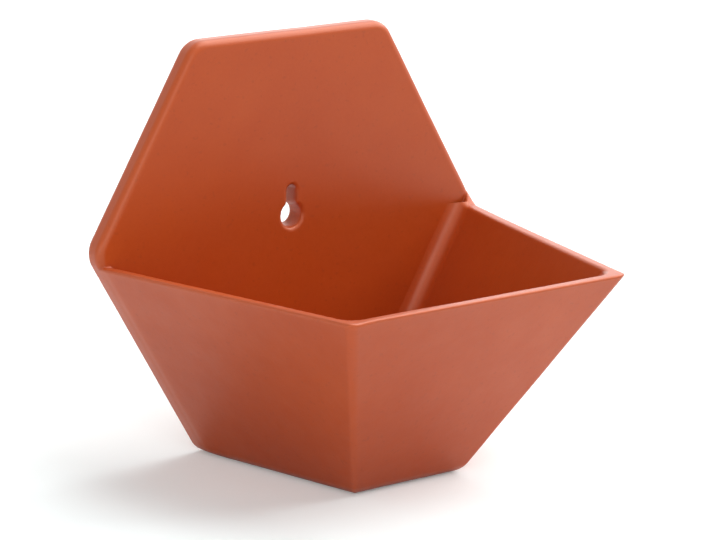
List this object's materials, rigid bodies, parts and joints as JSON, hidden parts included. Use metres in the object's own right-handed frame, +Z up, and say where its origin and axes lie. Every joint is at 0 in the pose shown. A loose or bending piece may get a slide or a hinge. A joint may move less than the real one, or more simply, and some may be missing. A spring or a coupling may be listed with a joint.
{
  "type": "wall planter",
  "caption": "Faceted pocket planter of glazed stoneware on a hexagonal back plate, hung on a wall screw by a keyhole or stood on its flat base.",
  "frame": {"origin": "middle of the flat base that the planter stands on", "axes": "+Z up, +Y towards the wall square to the back plate, +X to the right as one faces the pocket"},
  "size_m": [0.1964, 0.1438, 0.178],
  "materials": {
    "terracotta_glaze": "satin glaze",
    "grey_felt": "pressed felt"
  },
  "bodies": {
    "root": {"back_plate": "terracotta_glaze", "pocket_floor": "terracotta_glaze", "front_wall": "terracotta_glaze", "left_wall": "terracotta_glaze", "right_wall": "terracotta_glaze", "seam_bead": "terracotta_glaze", "wall_pad_left": "grey_felt", "wall_pad_right": "grey_felt"}
  },
  "joints": []
}
